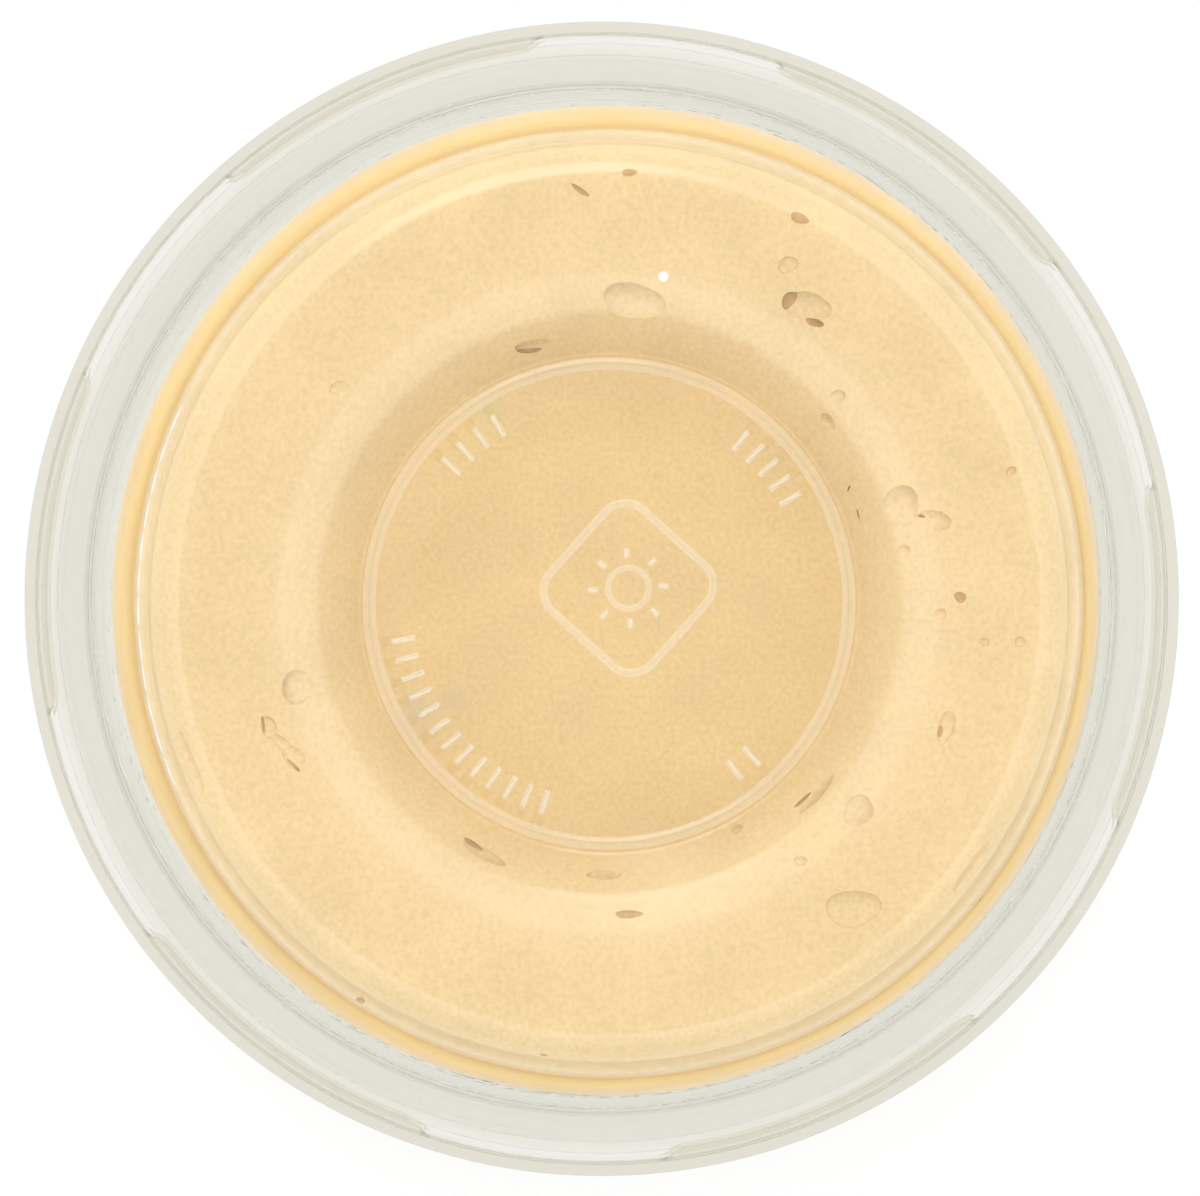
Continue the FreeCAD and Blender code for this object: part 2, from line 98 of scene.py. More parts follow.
def edge_ring(name, radius, level):
    """Start a round sheet from its edge: a ring of edges, in edit mode."""
    bpy.ops.object.select_all(action="DESELECT")
    bpy.ops.mesh.primitive_circle_add(
        vertices=AROUND, radius=radius * MM, location=(0, 0, level * MM)
    )
    bpy.ops.object.transform_apply(location=True, rotation=True, scale=True)
    piece = bpy.context.object
    piece.name = piece.data.name = name
    bpy.ops.object.mode_set(mode="EDIT")
    bpy.ops.mesh.select_mode(type="EDGE")
    bpy.ops.mesh.select_all(action="SELECT")
    return piece


def draw_sheet(start, profile):
    """Draw the selected ring out through the profile's radii and levels; close it at the axis."""
    radius, level = start
    for next_radius, next_level in profile:
        if next_radius == 0:
            bpy.ops.mesh.edge_face_add()
            bpy.ops.mesh.poke()
            break
        bpy.ops.mesh.extrude_region_move(
            TRANSFORM_OT_translate={"value": (0, 0, (next_level - level) * MM)}
        )
        share = next_radius / radius
        bpy.ops.transform.resize(value=(share, share, 1), center_override=(0, 0, 0))
        radius, level = next_radius, next_level


def round_rings(piece, corners, reach=0.02):
    """Round the ring edges within reach of each (radius, level), by a bevel's offset and steps."""
    bpy.ops.object.mode_set(mode="EDIT")
    bpy.ops.mesh.select_mode(type="EDGE")
    for radius, level, offset, steps in corners:
        bpy.ops.mesh.select_all(action="DESELECT")
        bpy.ops.object.mode_set(mode="OBJECT")
        spots = np.empty(len(piece.data.vertices) * 3)
        piece.data.vertices.foreach_get("co", spots)
        spots = spots.reshape(-1, 3) / MM
        places = np.column_stack((np.hypot(spots[:, 0], spots[:, 1]), spots[:, 2]))
        near = np.hypot(*(places - (radius, level)).T) < reach
        ends = np.empty(len(piece.data.edges) * 2, int)
        piece.data.edges.foreach_get("vertices", ends)
        first, second = ends.reshape(-1, 2).T
        round_edge = np.abs(places[first] - places[second]).max(axis=1) < 0.001
        piece.data.edges.foreach_set("select", near[first] & near[second] & round_edge)
        bpy.ops.object.mode_set(mode="EDIT")
        bpy.ops.mesh.bevel(offset=offset * MM, segments=steps, profile=0.5, affect="EDGES")


def finish_sheet(piece, thickness, upwards):
    """Turn the sheet's face up or down, give it its thickness on the other side, smooth it."""
    bpy.ops.mesh.select_all(action="SELECT")
    bpy.ops.mesh.remove_doubles(threshold=1e-6)
    bpy.ops.mesh.normals_make_consistent(inside=False)
    bpy.ops.object.mode_set(mode="OBJECT")
    middle = min(piece.data.polygons, key=lambda face: hypot(face.center.x, face.center.y))
    if (middle.normal.z > 0) != upwards:
        bpy.ops.object.mode_set(mode="EDIT")
        bpy.ops.mesh.flip_normals()
        bpy.ops.object.mode_set(mode="OBJECT")
    wall = piece.modifiers.new("sheet", "SOLIDIFY")
    wall.thickness = thickness * MM
    wall.offset = -1
    wall.use_even_offset = True
    bpy.ops.object.modifier_apply(modifier=wall.name)
    bpy.ops.object.shade_smooth_by_angle(angle=radians(40))


tub = edge_ring("tub_shell", FLANGE_RADIUS, FLANGE_LEVEL)
draw_sheet(
    (FLANGE_RADIUS, FLANGE_LEVEL),
    [
        (WELD_RADIUS + 0.6, FLANGE_LEVEL),
        (WELD_RADIUS + 0.2, FLANGE_LEVEL + WELD_HEIGHT),
        (WELD_RADIUS - 0.2, FLANGE_LEVEL + WELD_HEIGHT),
        (WELD_RADIUS - 0.6, FLANGE_LEVEL),
        (THROAT_RADIUS, FLANGE_LEVEL),
        (COLLAR_RADIUS, LEDGE_LEVEL),
        (LEDGE_RADIUS, LEDGE_LEVEL),
        (HEEL_RADIUS, HEEL_LEVEL),
        (FOOT_RADIUS, HEEL_LEVEL),
        (SHOULDER_RADIUS, STAND_LEVEL),
        (STAND_RADIUS, STAND_LEVEL),
        (RAMP_RADIUS, RAMP_LEVEL),
        (PANEL_RADIUS, PANEL_LEVEL),
        (BEAD_OUTER, PANEL_LEVEL),
        (BEAD_OUTER - BEAD_SLOPE, BEAD_TOP),
        (BEAD_INNER + BEAD_SLOPE, BEAD_TOP),
        (BEAD_INNER, PANEL_LEVEL),
        (0, PANEL_LEVEL),
    ],
)
round_rings(
    tub,
    [
        (SHOULDER_RADIUS, STAND_LEVEL, SHOULDER_ROUND, 14),
        (STAND_RADIUS, STAND_LEVEL, 1.6, 6),
    ],
)
finish_sheet(tub, SHEET, True)
round_rings(tub, [(RAMP_RADIUS, RAMP_LEVEL, 0.5, 4), (PANEL_RADIUS, PANEL_LEVEL, 0.3, 4)])
for bead_edge in (BEAD_OUTER - BEAD_SLOPE, BEAD_INNER + BEAD_SLOPE):
    round_rings(tub, [(bead_edge, BEAD_TOP, 0.12, 3)])
round_rings(
    tub,
    [
        (HEEL_RADIUS, HEEL_LEVEL, 0.25, 4),
        (FOOT_RADIUS, HEEL_LEVEL, 0.2, 3),
        (LEDGE_RADIUS, LEDGE_LEVEL, 0.3, 4),
        (COLLAR_RADIUS, LEDGE_LEVEL, 0.3, 4),
        (THROAT_RADIUS, FLANGE_LEVEL, 0.2, 4),
        (FLANGE_RADIUS, FLANGE_LEVEL, 0.12, 3),
    ],
    reach=0.9,
)
bpy.ops.object.mode_set(mode="OBJECT")

# The marks on the panel: a plain dial in a rounded square frame, and groups of plain bars
# along the ring bead. They are pressed out of the same sheet and stand a little proud.
MARK_LINE = 0.75
MARK_HEIGHT = 0.3
MARK_SUNK = 0.15
MARK_TOP = PANEL_LEVEL + MARK_HEIGHT
MARK_FOOT = (PANEL_LEVEL - MARK_SUNK) * MM
FRAME_SIDE = 14.4
FRAME_CORNER = 3.2
FRAME_LINE = 0.95
FRAME_PLACE = (1.9, 1.5, 48)  # right and back of the axis, and its turn
DIAL_RADIUS = 2.4
TICK_INNER, TICK_OUTER, TICKS = 2.9, 4.1, 8
BAR_OUTER = BEAD_INNER - 1.1
BAR_LENGTH = 2.6
BAR_GROUPS = ((190, 62, 13), (122, 17, 4), (30, 21, 5), (-53, 6, 2))  # first, spread, bars
marks = []


def raise_mark(piece, name):
    """Give a flat outline on the panel its height, round its top edges and keep it."""
    piece.name = piece.data.name = name
    bpy.ops.mesh.select_all(action="SELECT")
    bpy.ops.mesh.extrude_region_move(
        TRANSFORM_OT_translate={"value": (0, 0, (MARK_HEIGHT + MARK_SUNK) * MM)}
    )
    bpy.ops.mesh.select_all(action="SELECT")
    bpy.ops.mesh.normals_make_consistent(inside=False)
    bpy.ops.object.mode_set(mode="OBJECT")
    for edge in piece.data.edges:
        ends = [piece.data.vertices[index].co for index in edge.vertices]
        edge.select = all(abs(end.z / MM - MARK_TOP) < 0.01 for end in ends)
    for face in piece.data.polygons:
        face.select = face.normal.z > 0.9
    bpy.ops.object.mode_set(mode="EDIT")
    bpy.ops.mesh.region_to_loop()
    bpy.ops.mesh.bevel(offset=MARK_HEIGHT * MM, segments=5, profile=0.5, affect="EDGES")
    bpy.ops.object.mode_set(mode="OBJECT")
    marks.append(piece)


def place_mark(piece, right, back, turn):
    """Turn a mark about the axis, move it on the panel, and keep its place in its mesh."""
    piece.matrix_world = (
        Matrix.Translation((right * MM, back * MM, 0)) @ Matrix.Rotation(radians(turn), 4, "Z")
    )
    select_only(piece)
    bpy.ops.object.transform_apply(location=True, rotation=True, scale=True)


def outline_on_panel():
    """Go into edit mode on the primitive just added, with all of it selected."""
    bpy.ops.object.transform_apply(location=True, rotation=True, scale=True)
    bpy.ops.object.mode_set(mode="EDIT")
    bpy.ops.mesh.select_mode(type="FACE")
    bpy.ops.mesh.select_all(action="SELECT")
    return bpy.context.object


bpy.ops.object.select_all(action="DESELECT")
bpy.ops.mesh.primitive_plane_add(size=FRAME_SIDE * MM, location=(0, 0, MARK_FOOT))
square = outline_on_panel()
bpy.ops.mesh.bevel(offset=FRAME_CORNER * MM, segments=10, affect="VERTICES")
bpy.ops.mesh.select_all(action="SELECT")
bpy.ops.mesh.inset(thickness=FRAME_LINE * MM)
bpy.ops.mesh.delete(type="FACE")
raise_mark(square, "square_frame")
place_mark(square, *FRAME_PLACE)

bpy.ops.object.select_all(action="DESELECT")
bpy.ops.mesh.primitive_circle_add(
    vertices=48, radius=DIAL_RADIUS * MM, fill_type="NGON", location=(0, 0, MARK_FOOT)
)
dial = outline_on_panel()
bpy.ops.mesh.inset(thickness=MARK_LINE * MM)
bpy.ops.mesh.delete(type="FACE")
raise_mark(dial, "dial_ring")
place_mark(dial, *FRAME_PLACE)


def add_bar(name, inner, outer, right, back, turn):
    """A short bar that points at the middle of its dial or of the panel."""
    bpy.ops.object.select_all(action="DESELECT")
    middle = (inner + outer) / 2
    bpy.ops.mesh.primitive_plane_add(size=1 * MM, location=(middle * MM, 0, MARK_FOOT))
    bpy.context.object.scale = (outer - inner, MARK_LINE, 1)
    bar = outline_on_panel()
    bpy.ops.mesh.bevel(offset=0.2 * MM, segments=3, affect="VERTICES")
    raise_mark(bar, name)
    place_mark(bar, right, back, turn)


frame_right, frame_back, frame_turn = FRAME_PLACE
for tick in range(TICKS):
    turn = frame_turn + tick * 360 / TICKS
    add_bar(f"dial_tick_{tick}", TICK_INNER, TICK_OUTER, frame_right, frame_back, turn)
for direction, spread, count in BAR_GROUPS:
    for bar in range(count):
        turn = direction + spread * bar / (count - 1)
        add_bar(f"bar_{direction}_{bar}", BAR_OUTER - BAR_LENGTH, BAR_OUTER, 0, 0, turn)
select_only(*marks)
bpy.ops.object.join()
marks = bpy.context.object


def mend_mesh(piece, split):
    """Merge points that lie on each other, take out faces with no area, split into triangles."""
    select_only(piece)
    bpy.ops.object.mode_set(mode="EDIT")
    bpy.ops.mesh.select_all(action="SELECT")
    bpy.ops.mesh.remove_doubles(threshold=2e-7)
    bpy.ops.mesh.dissolve_degenerate(threshold=2e-7)
    if split:
        bpy.ops.mesh.select_all(action="SELECT")
        bpy.ops.mesh.quads_convert_to_tris(quad_method="BEAUTY", ngon_method="BEAUTY")
        bpy.ops.mesh.dissolve_degenerate(threshold=1e-6)
    bpy.ops.mesh.select_all(action="DESELECT")
    bpy.ops.object.mode_set(mode="OBJECT")


def cut_or_join(piece, tool, operation, split=False):
    """Join a tool to a piece or cut it out, then remove the tool; split leaves only triangles."""
    mend_mesh(piece, split)
    work = piece.modifiers.new("work", "BOOLEAN")
    work.operation = operation
    work.solver = "EXACT"
    work.object = tool
    work.material_mode = "TRANSFER"
    bpy.ops.object.modifier_apply(modifier=work.name)
    bpy.data.objects.remove(tool)
    mend_mesh(piece, split)


cut_or_join(tub, marks, "UNION")
select_only(tub)
bpy.ops.object.shade_smooth_by_angle(angle=radians(40))

# The plastic: clear sheet, a little hazy where stretched or embossed (on the marks also a painted
# pale sheen). Where the hummus is pressed against its inside, only its outside mirrors.


def node(tree, kind, **settings):
    """Add a shader node with its settings."""
    made = tree.nodes.new(kind)
    for name, setting in settings.items():
        setattr(made, name, setting)
    return made


def new_material(name):
    """An empty node material and its output."""
    material = bpy.data.materials.new(name)
    material.use_nodes = True
    material.node_tree.nodes.clear()
    return material, material.node_tree, node(material.node_tree, "ShaderNodeOutputMaterial")


def pass_light(material, sheet, output, passed):
    """Let the light of the dome straight through a clear sheet; the eye still sees it bend."""
    tree = material.node_tree
    clear = node(tree, "ShaderNodeBsdfTransparent")
    clear.inputs["Color"].default_value = (passed, passed, passed * 0.99, 1)
    rays = node(tree, "ShaderNodeLightPath")
    for kind in ("Is Shadow Ray", "Is Diffuse Ray"):
        choice = node(tree, "ShaderNodeMixShader")
        tree.links.new(rays.outputs[kind], choice.inputs["Fac"])
        tree.links.new(sheet, choice.inputs[1])
        tree.links.new(clear.outputs["BSDF"], choice.inputs[2])
        sheet = choice.outputs["Shader"]
    tree.links.new(sheet, output.inputs["Surface"])


def forming_ripple(tree, waviness=0.01, scale=3.0):
    """The faint ripples of a thermoformed sheet, as a bump; height and length in mm."""
    place = node(tree, "ShaderNodeTexCoord")
    ripple = node(tree, "ShaderNodeTexNoise")
    ripple.inputs["Scale"].default_value = 1 / (scale * MM)
    ripple.inputs["Detail"].default_value = 2
    bump = node(tree, "ShaderNodeBump")
    bump.inputs["Distance"].default_value = waviness * MM
    tree.links.new(place.outputs["Object"], ripple.inputs["Vector"])
    tree.links.new(ripple.outputs["Fac"], bump.inputs["Height"])
    return bump.outputs["Normal"]


def clear_sheet(name, tint, straight, passed=1.0, **ripple):
    """Clear sheet with air on both sides, so thin that it bends little of what is behind it.

    straight is the share that goes through unbent, and passed what each face lets through of
    it; ripple holds settings for forming_ripple.
    """
    material, tree, output = new_material(name)
    bent = node(tree, "ShaderNodeBsdfGlass", distribution="GGX")
    bent.inputs["Color"].default_value = (*tint, 1)
    bent.inputs["Roughness"].default_value = 0.03
    bent.inputs["IOR"].default_value = 1.5
    unbent = node(tree, "ShaderNodeBsdfTransparent")
    unbent.inputs["Color"].default_value = (*(passed * part for part in tint), 1)
    sheet = node(tree, "ShaderNodeMixShader")
    sheet.inputs["Fac"].default_value = straight
    tree.links.new(forming_ripple(tree, **ripple), bent.inputs["Normal"])
    tree.links.new(bent.outputs["BSDF"], sheet.inputs[1])
    tree.links.new(unbent.outputs["BSDF"], sheet.inputs[2])
    pass_light(material, sheet.outputs["Shader"], output, 0.96)
    return material


def wetted_sheet(name, tint, most_mirror, haze=0):
    """Clear sheet with hummus pressed against its inside, so that it only mirrors on its outside.

    most_mirror is the most it mirrors at a low angle, and haze how milky the sheet is.
    """
    material, tree, output = new_material(name)
    through = node(tree, "ShaderNodeBsdfRefraction", distribution="GGX")
    through.inputs["Color"].default_value = (*tint, 1)
    through.inputs["Roughness"].default_value = 0.0
    through.inputs["IOR"].default_value = 1.5
    mirror = node(tree, "ShaderNodeBsdfGlossy", distribution="GGX")
    mirror.inputs["Color"].default_value = (1, 1, 1, 1)
    mirror.inputs["Roughness"].default_value = 0.08
    share = node(tree, "ShaderNodeFresnel")
    share.inputs["IOR"].default_value = 1.5
    limit = node(tree, "ShaderNodeMath", operation="MINIMUM")
    limit.inputs[1].default_value = most_mirror
    body = node(tree, "ShaderNodeMixShader")
    milk = node(tree, "ShaderNodeBsdfDiffuse")
    milk.inputs["Color"].default_value = (0.95, 0.95, 0.93, 1)
    hazy = node(tree, "ShaderNodeMixShader")
    hazy.inputs["Fac"].default_value = haze
    ripple = forming_ripple(tree)
    for shader in (through, mirror, share):
        tree.links.new(ripple, shader.inputs["Normal"])
    tree.links.new(share.outputs["Fac"], limit.inputs[0])
    tree.links.new(limit.outputs["Value"], body.inputs["Fac"])
    tree.links.new(through.outputs["BSDF"], body.inputs[1])
    tree.links.new(mirror.outputs["BSDF"], body.inputs[2])
    tree.links.new(body.outputs["Shader"], hazy.inputs[1])
    tree.links.new(milk.outputs["BSDF"], hazy.inputs[2])
    pass_light(material, hazy.outputs["Shader"], output, 0.985)
    return material


TUB_TINT = (1.0, 0.998, 0.98)
tub.data.materials.clear()
for finish in (
    clear_sheet("clear_tub_rim", TUB_TINT, 0.65),
    wetted_sheet("clear_tub_base", TUB_TINT, 0.3),
    wetted_sheet("clear_tub_wall", TUB_TINT, 0.02),
    # The marks' haze is partly a painted pale sheen, the veil that their slopes would mirror.
    wetted_sheet("frosted_and_sheen_marks", TUB_TINT, 0.06, 0.17),
    wetted_sheet("hazy_heel", TUB_TINT, 0.3, 0.13),
    wetted_sheet("hazy_bead", TUB_TINT, 0.05, 0.13),
    # The collar's grey tint is painted shade: the darker band just outside the hummus.
    clear_sheet("clear_tub_collar", (0.955, 0.95, 0.925), 0.45),
):
    tub.data.materials.append(finish)
RIM, BASE, WALL, FROSTED_AND_SHEEN, HEEL, BEAD, COLLAR = range(7)
for face in tub.data.polygons:
    out = hypot(face.center.x, face.center.y) / MM
    level = face.center.z / MM
    if THROAT_RADIUS - 0.8 < out < THROAT_RADIUS + 0.3:
        face.material_index = COLLAR
    elif level < LEDGE_LEVEL + 0.05 or out > LEDGE_RADIUS:
        face.material_index = RIM
    elif level < HEEL_LEVEL - 0.3:
        face.material_index = WALL
    elif BEAD_INNER < out < BEAD_OUTER and level > PANEL_LEVEL + 0.03:
        face.material_index = BEAD
    elif out < BEAD_INNER and level > PANEL_LEVEL + 0.04:
        face.material_index = FROSTED_AND_SHEEN
    elif FOOT_RADIUS - 0.1 < out < HEEL_RADIUS - 0.1 and level < HEEL_LEVEL + 0.3:
        face.material_index = HEEL
    else:
        face.material_index = BASE
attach(tub, "root")
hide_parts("tub")

# The hummus: a smooth thick paste that fills the tub from its level to the base, pressed
# against the sheet. It leaves the wall a little higher on one side, as it was filled, and
# air that was trapped under the base left dents with sharp lips in it.
HALF = SHEET / 2
HUMMUS_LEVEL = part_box("hummus")[0].z / MM
TOUCH_LEVEL = HUMMUS_LEVEL + 5.75
TOUCH_RADIUS = LEDGE_RADIUS - (TOUCH_LEVEL - LEDGE_LEVEL) * DRAFT - HALF
LEVEL_RADIUS = TOUCH_RADIUS - 2.4
RISE_LEFT, RISE_BACK = 4.7, 1.4
paste = edge_ring("hummus_fill", LEVEL_RADIUS, HUMMUS_LEVEL)
draw_sheet(
    (LEVEL_RADIUS, HUMMUS_LEVEL),
    [
        (TOUCH_RADIUS - 0.8, HUMMUS_LEVEL + 0.35),
        (TOUCH_RADIUS - 0.3, TOUCH_LEVEL - 0.3),
        (TOUCH_RADIUS, TOUCH_LEVEL),
        (HEEL_RADIUS - HALF, HEEL_LEVEL - HALF),
        (FOOT_RADIUS - HALF, HEEL_LEVEL - HALF),
        (SHOULDER_RADIUS - HALF, STAND_LEVEL - HALF),
        (STAND_RADIUS, STAND_LEVEL - HALF),
        (RAMP_RADIUS, RAMP_LEVEL - HALF),
        (PANEL_RADIUS, PANEL_LEVEL - HALF),
        (0, PANEL_LEVEL - HALF),
    ],
)
round_rings(
    paste,
    [
        (SHOULDER_RADIUS - HALF, STAND_LEVEL - HALF, 3.4, 12),
        (STAND_RADIUS, STAND_LEVEL - HALF, 1.6, 6),
        (RAMP_RADIUS, RAMP_LEVEL - HALF, 0.5, 4),
        (PANEL_RADIUS, PANEL_LEVEL - HALF, 0.35, 4),
        (HEEL_RADIUS - HALF, HEEL_LEVEL - HALF, 0.25, 3),
        (FOOT_RADIUS - HALF, HEEL_LEVEL - HALF, 0.2, 3),
    ],
)
bpy.ops.mesh.select_all(action="DESELECT")
bpy.ops.object.mode_set(mode="OBJECT")
for edge in paste.data.edges:
    edge.select = all(
        abs(paste.data.vertices[index].co.z / MM - HUMMUS_LEVEL) < 0.01 for index in edge.vertices
    )
bpy.ops.object.mode_set(mode="EDIT")
draw_sheet(
    (LEVEL_RADIUS, HUMMUS_LEVEL),
    [
        (LEVEL_RADIUS - 0.8, HUMMUS_LEVEL),
        (LEVEL_RADIUS - 6, HUMMUS_LEVEL + 0.25),
        (0, HUMMUS_LEVEL),
    ],
)
bpy.ops.mesh.select_all(action="SELECT")
bpy.ops.mesh.remove_doubles(threshold=1e-6)
bpy.ops.mesh.normals_make_consistent(inside=False)
bpy.ops.object.mode_set(mode="OBJECT")
for vertex in paste.data.vertices:
    if HUMMUS_LEVEL + 1 < vertex.co.z / MM < TOUCH_LEVEL + 0.1:
        out = hypot(vertex.co.x, vertex.co.y)
        rise = (RISE_BACK * vertex.co.y - RISE_LEFT * vertex.co.x) / out
        share = 1 - rise * MM * DRAFT / out
        vertex.co = (vertex.co.x * share, vertex.co.y * share, vertex.co.z + rise * MM)


def tone_ramp(tree, source, low, high, steps):
    """A tint that changes along source, from low to high; steps are (place, tint).

    The ramp holds no more than 1, so it holds half of each tint, which is doubled after it.
    """
    share = node(tree, "ShaderNodeMapRange")
    share.inputs["From Min"].default_value = low * MM
    share.inputs["From Max"].default_value = high * MM
    ramp = node(tree, "ShaderNodeValToRGB")
    ramp.color_ramp.interpolation = "B_SPLINE"
    ramp.color_ramp.elements.remove(ramp.color_ramp.elements[1])
    for number, (at, tint) in enumerate(steps):
        spot = (at - low) / (high - low)
        step = ramp.color_ramp.elements[0] if number == 0 else ramp.color_ramp.elements.new(spot)
        step.position = spot
        step.color = (*(part / 2 for part in tint), 1)
    doubled = node(tree, "ShaderNodeVectorMath", operation="SCALE")
    doubled.inputs["Scale"].default_value = 2
    tree.links.new(source, share.inputs["Value"])
    tree.links.new(share.outputs["Result"], ramp.inputs["Fac"])
    tree.links.new(ramp.outputs["Color"], doubled.inputs[0])
    return doubled.outputs["Vector"]


def speckle(tree, place, size, detail, low, high):
    """Noise of a size in mm, and the same as a tone from low to high."""
    noise = node(tree, "ShaderNodeTexNoise")
    noise.inputs["Scale"].default_value = 1 / (size * MM)
    noise.inputs["Detail"].default_value = detail
    tone = node(tree, "ShaderNodeMapRange")
    tone.inputs["From Min"].default_value = 0.3
    tone.inputs["From Max"].default_value = 0.7
    tone.inputs["To Min"].default_value = low
    tone.inputs["To Max"].default_value = high
    tree.links.new(place, noise.inputs["Vector"])
    tree.links.new(noise.outputs["Fac"], tone.inputs["Value"])
    return noise.outputs["Fac"], tone.outputs["Result"]


def multiply(tree, second):
    """A node that multiplies the colour on its input A by second."""
    product = node(tree, "ShaderNodeMix", data_type="RGBA", blend_type="MULTIPLY")
    product.inputs["Factor"].default_value = 1
    tree.links.new(second, product.inputs["B"])
    return product


STAINS = [  # right and back of the axis, reach, strength, tint
    (-18.8, -10.6, 3.2, 0.42, (0.60, 0.50, 0.33)),
    (-15.6, -9.6, 2.4, 0.36, (0.58, 0.49, 0.34)),
    (-11.9, 19.1, 2.6, 0.38, (0.60, 0.56, 0.31)),
]


def paste_material(name, colour, mottle):
    """Hummus: warm beige, cloudy and finely grained, with a few orange flecks and dull stains.

    Its tone carries painted shade and highlights, which change with the distance from the axis
    and with the level; mottle is how uneven it is.
    """
    material, tree, output = new_material(name)
    links = tree.links
    object_place = node(tree, "ShaderNodeTexCoord").outputs["Object"]
    apart = node(tree, "ShaderNodeSeparateXYZ")
    flat = node(tree, "ShaderNodeVectorMath", operation="MULTIPLY")
    flat.inputs[1].default_value = (1, 1, 0)
    out = node(tree, "ShaderNodeVectorMath", operation="LENGTH")
    links.new(object_place, apart.inputs["Vector"])
    links.new(object_place, flat.inputs[0])
    links.new(flat.outputs["Vector"], out.inputs[0])
    # Painted shade and highlights by the distance from the axis: darker over the panel and most at
    # its edge, in the shade of the recess, and paler and bluer on the outer ramp, the shoulder and
    # the heel, as if they mirrored white light.
    radial_painted_light = tone_ramp(
        tree,
        out.outputs["Value"],
        0,
        50,
        (
            (0, (0.962, 0.957, 0.965)),
            (12, (0.962, 0.957, 0.965)),
            (20, (0.935, 0.925, 0.91)),
            (23.5, (0.87, 0.838, 0.77)),
            (25.5, (0.90, 0.86, 0.79)),
            (28.4, (0.96, 0.95, 0.92)),
            (29.5, (0.97, 0.97, 0.985)),
            (31, (1, 1, 1)),
            (33, (1.03, 1.03, 1.1)),
            (35.3, (1, 1, 1)),
            (39.3, (0.985, 0.975, 0.975)),
            (41.5, (1, 1, 1)),
            (43.2, (1.035, 1.035, 1.08)),
            (44.4, (1.08, 1.1, 1.14)),
            (45.0, (1.05, 1.09, 1.13)),
            (45.35, (1.0, 1.0, 1.0)),
            (45.8, (1.04, 1.1, 1.18)),
            (46.25, (1.05, 1.16, 1.42)),
            (46.5, (1.02, 1.1, 1.24)),
            (46.8, (1, 1, 1)),
            (50, (1, 1, 1)),
        ),
    )
    # Painted light and shade by level on the wall: paler and bluer near the hummus's free level,
    # where light comes in, and darker and more orange towards the heel, in its shade.
    side = tone_ramp(
        tree,
        apart.outputs["Z"],
        8,
        48,
        (
            (8, (1.05, 1.21, 1.7)),
            (12, (1.07, 1.2, 1.66)),
            (18, (1.12, 1.16, 1.42)),
            (23, (1.1, 1.11, 1.2)),
            (28, (1.13, 1.13, 1.06)),
            (33, (1.09, 1.055, 0.92)),
            (37, (1.03, 0.97, 0.8)),
            (39, (0.98, 0.89, 0.73)),
            (41, (0.96, 0.84, 0.66)),
            (43.2, (0.93, 0.79, 0.6)),
            (43.6, (1, 1, 1)),
            (48, (1, 1, 1)),
        ),
    )
    painted_light_and_shade = multiply(tree, side)
    links.new(radial_painted_light, painted_light_and_shade.inputs["A"])
    _, cloud_tone = speckle(tree, object_place, 9, 3, 1 - mottle * 1.3, 1 + mottle * 0.7)
    grain, grain_tone = speckle(tree, object_place, 0.5, 2, 1 - mottle * 1.6, 1 + mottle * 1.3)
    tone = node(tree, "ShaderNodeMath", operation="MULTIPLY")
    links.new(cloud_tone, tone.inputs[0])
    links.new(grain_tone, tone.inputs[1])
    mottled = multiply(tree, tone.outputs["Value"])
    mottled.inputs["A"].default_value = (*colour, 1)
    fleck = node(tree, "ShaderNodeTexVoronoi")
    fleck.inputs["Scale"].default_value = 1 / (4 * MM)
    fleck_edge = node(tree, "ShaderNodeMapRange")
    fleck_edge.inputs["From Min"].default_value = 0.05
    fleck_edge.inputs["From Max"].default_value = 0.12
    fleck_edge.inputs["To Min"].default_value = 0.45
    fleck_edge.inputs["To Max"].default_value = 0
    flecked = node(tree, "ShaderNodeMix", data_type="RGBA")
    flecked.inputs["B"].default_value = (colour[0] * 0.97, colour[1] * 0.80, colour[2] * 0.60, 1)
    links.new(object_place, fleck.inputs["Vector"])
    links.new(fleck.outputs["Distance"], fleck_edge.inputs["Value"])
    links.new(fleck_edge.outputs["Result"], flecked.inputs["Factor"])
    links.new(mottled.outputs["Result"], flecked.inputs["A"])
    toned = multiply(tree, painted_light_and_shade.outputs["Result"])
    links.new(flecked.outputs["Result"], toned.inputs["A"])
    tone_out = toned.outputs["Result"]
    for right, back, reach, strength, tint in STAINS:
        away = node(tree, "ShaderNodeVectorMath", operation="DISTANCE")
        away.inputs[1].default_value = (right * MM, back * MM, PANEL_LEVEL * MM)
        fade = node(tree, "ShaderNodeMapRange", interpolation_type="SMOOTHSTEP")
        fade.inputs["From Max"].default_value = reach * MM
        fade.inputs["To Min"].default_value = strength
        fade.inputs["To Max"].default_value = 0
        stained = node(tree, "ShaderNodeMix", data_type="RGBA")
        stained.inputs["B"].default_value = (*tint, 1)
        links.new(object_place, away.inputs[0])
        links.new(away.outputs["Value"], fade.inputs["Value"])
        links.new(fade.outputs["Result"], stained.inputs["Factor"])
        links.new(tone_out, stained.inputs["A"])
        tone_out = stained.outputs["Result"]
    grain_bump = node(tree, "ShaderNodeBump")
    grain_bump.inputs["Strength"].default_value = 0.35
    grain_bump.inputs["Distance"].default_value = 0.06 * MM
    skin = node(tree, "ShaderNodeBsdfPrincipled")
    skin.inputs["Roughness"].default_value = 0.65
    skin.inputs["Specular IOR Level"].default_value = 0.3
    links.new(grain, grain_bump.inputs["Height"])
    links.new(grain_bump.outputs["Normal"], skin.inputs["Normal"])
    links.new(tone_out, skin.inputs["Base Color"])
    links.new(skin.outputs["BSDF"], output.inputs["Surface"])
    return material


